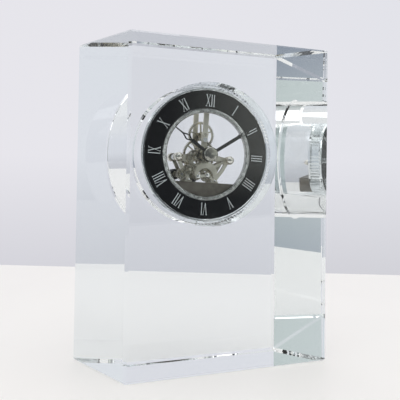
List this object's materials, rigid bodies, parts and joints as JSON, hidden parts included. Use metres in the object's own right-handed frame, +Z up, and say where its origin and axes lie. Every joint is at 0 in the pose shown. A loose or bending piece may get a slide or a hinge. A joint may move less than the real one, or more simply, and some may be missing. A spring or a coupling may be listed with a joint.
{
  "type": "crystal desk clock",
  "caption": "Slanted clear crystal block clock with a round black Roman dial, open centre and skeleton gear train, read from the front.",
  "frame": {"origin": "middle of the block's underside, on the table", "axes": "+Z up along the block's height, -Y toward the front face and the dial, +X to the right as seen from the front"},
  "size_m": [0.1152, 0.036, 0.15],
  "materials": {
    "crystal_block": "polished optical crystal",
    "spacer_ring": "clear, polished",
    "bezel_ring": "polished",
    "chapter_ring": "gloss black",
    "inner_ring": "polished",
    "left_strap": "satin",
    "right_strap": "satin",
    "front_bridge": "satin, warm plated",
    "rear_bridge": "satin, warm plated",
    "pillars": "polished",
    "front_balls": "polished",
    "rear_balls": "polished",
    "frame_screws": "polished heads",
    "base_housing": "satin grey",
    "circuit_board": "solder mask",
    "button_cell": "satin",
    "cell_contact": "plated",
    "battery_hatch": "satin",
    "motor_drum": "satin",
    "drive_gear": "plated",
    "intermediate_wheel": "plated",
    "centre_arbor": "polished",
    "centre_wheel": "plated",
    "centre_pinion": "plated",
    "upper_wheel": "plated",
    "cannon_pinion": "polished",
    "minute_wheel": "plated",
    "hour_wheel": "plated",
    "setting_idler": "plated",
    "setting_wheel": "plated",
    "setting_arbor": "polished",
    "setting_knob": "moulded",
    "hour_hand": "gloss black",
    "minute_hand": "gloss black",
    "hand_cap": "polished",
    "rear_cover": "clear, polished"
  },
  "bodies": {
    "case": {"crystal_block": "crystal_block", "spacer_ring": "spacer_ring", "bezel_ring": "bezel_ring", "chapter_ring": "chapter_ring", "inner_ring": "inner_ring", "left_strap": "left_strap", "right_strap": "right_strap", "front_bridge": "front_bridge", "rear_bridge": "rear_bridge", "pillars": "pillars", "front_balls": "front_balls", "rear_balls": "rear_balls", "frame_screws": "frame_screws", "base_housing": "base_housing", "circuit_board": "circuit_board", "button_cell": "button_cell", "cell_contact": "cell_contact", "battery_hatch": "battery_hatch", "motor_drum": "motor_drum"},
    "minute_train": {"centre_arbor": "centre_arbor", "centre_wheel": "centre_wheel", "centre_pinion": "centre_pinion", "cannon_pinion": "cannon_pinion", "minute_hand": "minute_hand", "hand_cap": "hand_cap"},
    "hour_train": {"hour_wheel": "hour_wheel", "hour_hand": "hour_hand"},
    "motion_wheel": {"minute_wheel": "minute_wheel"},
    "upper_train": {"upper_wheel": "upper_wheel"},
    "intermediate_train": {"intermediate_wheel": "intermediate_wheel"},
    "drive_train": {"drive_gear": "drive_gear"},
    "idler_train": {"setting_idler": "setting_idler"},
    "setting_train": {"setting_wheel": "setting_wheel", "setting_arbor": "setting_arbor", "setting_knob": "setting_knob"},
    "cover": {"rear_cover": "rear_cover"}
  },
  "joints": [
    {"name": "minute_turn", "type": "hinge", "parent": "case", "child": "minute_train", "pos_m": [-0.0007, 0, 0.098], "axis": [0, 1, 0], "continuous": true},
    {"name": "hour_turn", "type": "hinge", "parent": "case", "child": "hour_train", "pos_m": [-0.0007, 0, 0.098], "axis": [0, 1, 0], "continuous": true},
    {"name": "motion_turn", "type": "hinge", "parent": "case", "child": "motion_wheel", "pos_m": [-0.00548, 0, 0.09654], "axis": [0, 1, 0], "continuous": true},
    {"name": "upper_turn", "type": "hinge", "parent": "case", "child": "upper_train", "pos_m": [-0.00019, 0, 0.10774], "axis": [0, 1, 0], "continuous": true},
    {"name": "intermediate_turn", "type": "hinge", "parent": "case", "child": "intermediate_train", "pos_m": [0.00155, 0, 0.08826], "axis": [0, 1, 0], "continuous": true},
    {"name": "drive_turn", "type": "hinge", "parent": "case", "child": "drive_train", "pos_m": [-0.00317, 0, 0.08768], "axis": [0, 1, 0], "continuous": true},
    {"name": "idler_turn", "type": "hinge", "parent": "case", "child": "idler_train", "pos_m": [-0.00773, 0, 0.09098], "axis": [0, 1, 0], "continuous": true},
    {"name": "setting_turn", "type": "hinge", "parent": "case", "child": "setting_train", "pos_m": [-0.01184, 0, 0.0886], "axis": [0, 1, 0], "continuous": true},
    {"name": "cover_pull", "type": "slide", "parent": "case", "child": "cover", "axis": [0, 1, 0], "range_m": [0, 0.02]}
  ],
  "couplings": [
    {"joint": "hour_turn", "follows": "minute_turn", "ratio": 0.083333},
    {"joint": "motion_turn", "follows": "minute_turn", "ratio": -0.33333},
    {"joint": "upper_turn", "follows": "minute_turn", "ratio": -0.5},
    {"joint": "intermediate_turn", "follows": "minute_turn", "ratio": -4.7143},
    {"joint": "drive_turn", "follows": "minute_turn", "ratio": 8.0816},
    {"joint": "idler_turn", "follows": "minute_turn", "ratio": 0.55556},
    {"joint": "setting_turn", "follows": "minute_turn", "ratio": -0.5}
  ]
}
